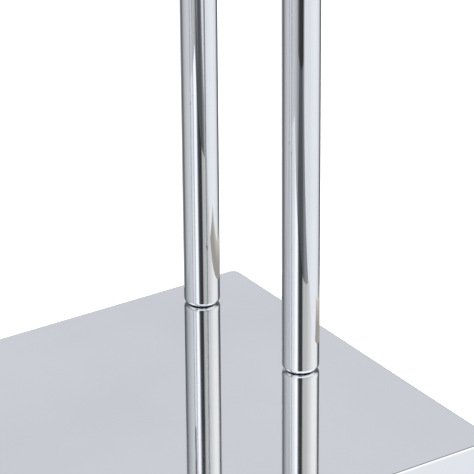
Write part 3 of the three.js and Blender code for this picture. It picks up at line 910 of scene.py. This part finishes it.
# white floor, and banded light that only reflections show
studio = {
    "floor": "#f2f2f2",
    "floorGlow": 0.55,
    "floorHalf": 12,            # metres
    "backdrop": 1.2,
    "frontAzimuth": -33.3,      # the bands are stated in degrees from this direction
    "above": [                  # degrees, brightness
        (-180, 0.69), (-168, 0.69), (-156, 0.16), (-132, 0.13), (-124, 0.25), (-108, 0.46),
        (-90, 0.6), (-74, 0.7), (-60, 0.78), (-46, 0.92), (-38, 0.98), (-33, 1.22),
        (-23, 1.34), (-19, 0.7), (-15, 0.22), (-10, 0.07), (4, 0.035), (8, 0.1), (11, 0.4),
        (15, 0.58), (34, 0.6), (48, 0.74), (60, 0.84), (74, 1.0), (90, 1.05), (112, 1.0),
        (122, 0.5), (130, 0.12), (155, 0.16), (165, 0.5), (172, 0.69)],
    "below": [
        (-176, 0.35), (-160, 0.6), (-148, 0.5), (-138, 0.16), (-130, 0.11), (-117, 0.28),
        (-104, 0.5), (-90, 0.6), (-74, 0.67), (-60, 0.64), (-46, 0.62), (-38, 0.6),
        (-30, 0.52), (-24, 0.42), (-20, 0.3), (-16, 0.12), (-10, 0.045), (7, 0.035),
        (11, 0.08), (14, 0.3), (17, 0.64), (20, 0.76), (26, 0.83), (48, 0.82), (62, 0.88),
        (90, 0.92), (112, 0.86), (122, 0.78), (132, 0.4), (142, 0.14), (168, 0.12)],
    "overhead": [(-180, 0.25), (-152, 0.25), (-120, 1.25), (110, 1.25), (146, 0.25)],
    "cool": (0.97, 0.992, 1.05),
    "neutral": (1.0, 0.995, 0.99),
    "neutralFrom": 5,           # degrees, only in the upper bands
    "neutralTo": 120,
    "horizon": (-0.02, 0.02),   # heights of the reflected ray that the zones mix between
    "ceiling": (0.66, 0.76),
}


def addBands(tree, turn, zone, neutralFrom=180):
    ramp = addNode(tree, "ShaderNodeValToRGB", None, {"Fac": turn})
    stops = []
    for degrees, bright in studio[zone]:
        neutral = neutralFrom < degrees < studio["neutralTo"]
        tint = studio["neutral" if neutral else "cool"]
        stops.append(((degrees + 180) / 360, tuple(c * bright for c in tint) + (1,)))
    setStops(ramp, stops)
    return ramp.outputs[0]


def mixAtHeight(tree, height, levels, lower, upper):
    share = addNode(tree, "ShaderNodeMapRange", {"From Min": levels[0], "From Max": levels[1]},
                    {"Value": height})
    mix = addNode(tree, "ShaderNodeMix", {"data_type": "RGBA"})
    for socket, source in ((0, share.outputs[0]), (6, lower), (7, upper)):
        tree.links.new(source, mix.inputs[socket])
    return mix.outputs[2]


def makeWorld():
    world = bpy.data.worlds.new("studio")
    bpy.context.scene.world = world
    world.use_nodes = True
    tree = world.node_tree
    tree.nodes.clear()
    way = addNode(tree, "ShaderNodeTexCoord").outputs["Generated"]
    parts = addNode(tree, "ShaderNodeSeparateXYZ", None, {0: way})
    flip = addNode(tree, "ShaderNodeMath", {"operation": "MULTIPLY", 1: -1.0},
                   {0: parts.outputs["Y"]})
    angle = addNode(tree, "ShaderNodeMath", {"operation": "ARCTAN2"},
                    {0: parts.outputs["X"], 1: flip.outputs[0]})
    turn = addNode(tree, "ShaderNodeMath", {
        "operation": "MULTIPLY_ADD", 1: 1 / (2 * math.pi),
        2: 0.5 - studio["frontAzimuth"] / 360}, {0: angle.outputs[0]})
    wrapped = addNode(tree, "ShaderNodeMath", {"operation": "FRACT"},
                      {0: turn.outputs[0]}).outputs[0]
    height = parts.outputs["Z"]
    sides = mixAtHeight(tree, height, studio["horizon"], addBands(tree, wrapped, "below"),
                        addBands(tree, wrapped, "above", studio["neutralFrom"]))
    whole = mixAtHeight(tree, height, studio["ceiling"], sides,
                        addBands(tree, wrapped, "overhead"))
    banded = addNode(tree, "ShaderNodeBackground", {"Strength": 1.0}, {"Color": whole})
    white = addNode(tree, "ShaderNodeBackground", {
        "Strength": studio["backdrop"], "Color": (1, 1, 1, 1)})
    seen = addNode(tree, "ShaderNodeLightPath").outputs["Is Camera Ray"]
    both = addNode(tree, "ShaderNodeMixShader", None,
                   {0: seen, 1: banded.outputs[0], 2: white.outputs[0]})
    addNode(tree, "ShaderNodeOutputWorld", None, {"Surface": both.outputs[0]})


# Glowing flats that only reflections show, painted shadow of the base and its posts on the floor
# round it, one just above the floor and one sunk below it: corners, height, the direction that
# each changes along, and (metres along it, brightness) stops.
paintedFloorShadows = {
    "front_shade": {
        "corners": [(0.258, -0.31), (-0.078, -0.725), (-0.422, -0.499), (-0.19, -0.31)],
        "height": -0.05,
        "along": (0.836, -0.549, 0),
        "stops": [(-0.04, 0.38), (0.02, 0.1), (0.22, 0.1), (0.26, 0.17), (0.3, 0.26),
                  (0.36, 0.31)],
        "tint": (0.94, 0.99, 1.05),
    },
    "right_shade": {
        "corners": [(0.243, -0.06), (0.37, -0.06), (0.37, 0.4), (0.243, 0.4)],
        "height": 0.001,
        "along": (1, 0, 0),
        "stops": [(0.24, 0.36), (0.33, 0.36), (0.37, 0.6)],
        "tint": (1.05, 1.0, 0.9),
    },
}


def makePaintedFloorShadows():
    for name, shade in paintedFloorShadows.items():
        bm = bmesh.new()
        bm.faces.new([bm.verts.new((x, y, shade["height"])) for x, y in shade["corners"]])
        mesh = bpy.data.meshes.new(name)
        bm.to_mesh(mesh)
        bm.free()
        # painted shadow: each flat glows, its brightness ramped along one direction, and only
        # glossy rays see it
        material, tree, surface, place = startMaterial(
            name, **{"Base Color": (0, 0, 0, 1), "Specular IOR Level": 0.0,
                     "Emission Strength": 1.0})
        reach = addNode(tree, "ShaderNodeVectorMath",
                        {"operation": "DOT_PRODUCT", 1: shade["along"]}, {0: place})
        first, last = shade["stops"][0][0], shade["stops"][-1][0]
        share = addNode(tree, "ShaderNodeMapRange", {"From Min": first, "From Max": last},
                        {"Value": reach.outputs["Value"]})
        ramp = addNode(tree, "ShaderNodeValToRGB", None, {"Fac": share.outputs[0]})
        setStops(ramp, [((at - first) / (last - first),
                         tuple(c * bright for c in shade["tint"]) + (1,))
                        for at, bright in shade["stops"]])
        tree.links.new(ramp.outputs[0], surface.inputs["Emission Color"])
        mesh.materials.append(material)
        card = bpy.data.objects.new(name, mesh)
        bpy.context.collection.objects.link(card)
        for ray in ("camera", "diffuse", "transmission", "shadow", "volume_scatter"):
            setattr(card, "visible_" + ray, False)


def makeFloor():
    bm = bmesh.new()
    bmesh.ops.create_grid(bm, x_segments=1, y_segments=1, size=studio["floorHalf"])
    mesh = bpy.data.meshes.new("floor")
    bm.to_mesh(mesh)
    bm.free()
    material = startMaterial(
        "pale_floor", Roughness=0.9, **{
            "Base Color": toLinear(studio["floor"]), "Specular IOR Level": 0.0,
            "Emission Color": (1, 1, 1, 1), "Emission Strength": studio["floorGlow"]})[0]
    mesh.materials.append(material)
    floor = bpy.data.objects.new("floor", mesh)
    bpy.context.collection.objects.link(floor)
    floor.visible_glossy = False


lightLook = {  # place, aim, size in metres, watts
    "key_light": ((-1.8, -2.2, 2.6), (0, 0, 0.5), 1.8, 70),
    "fill_light": ((2.4, -1.2, 1.8), (0, 0, 0.5), 1.8, 30),
}


def makeLight(name, place, aim, size, power):
    light = bpy.data.lights.new(name, "AREA")
    light.size = size
    light.energy = power
    holder = bpy.data.objects.new(name, light)
    bpy.context.collection.objects.link(holder)
    holder.location = place
    holder.rotation_mode = "QUATERNION"
    holder.rotation_quaternion = (Vector(aim) - Vector(place)).to_track_quat("-Z", "Y")
    holder.visible_glossy = False


makeWorld()
makeFloor()
makePaintedFloorShadows()
for name, (place, aim, size, power) in lightLook.items():
    makeLight(name, place, aim, size, power)
bpy.context.scene.view_settings.view_transform = "Standard"
print("studio lit")
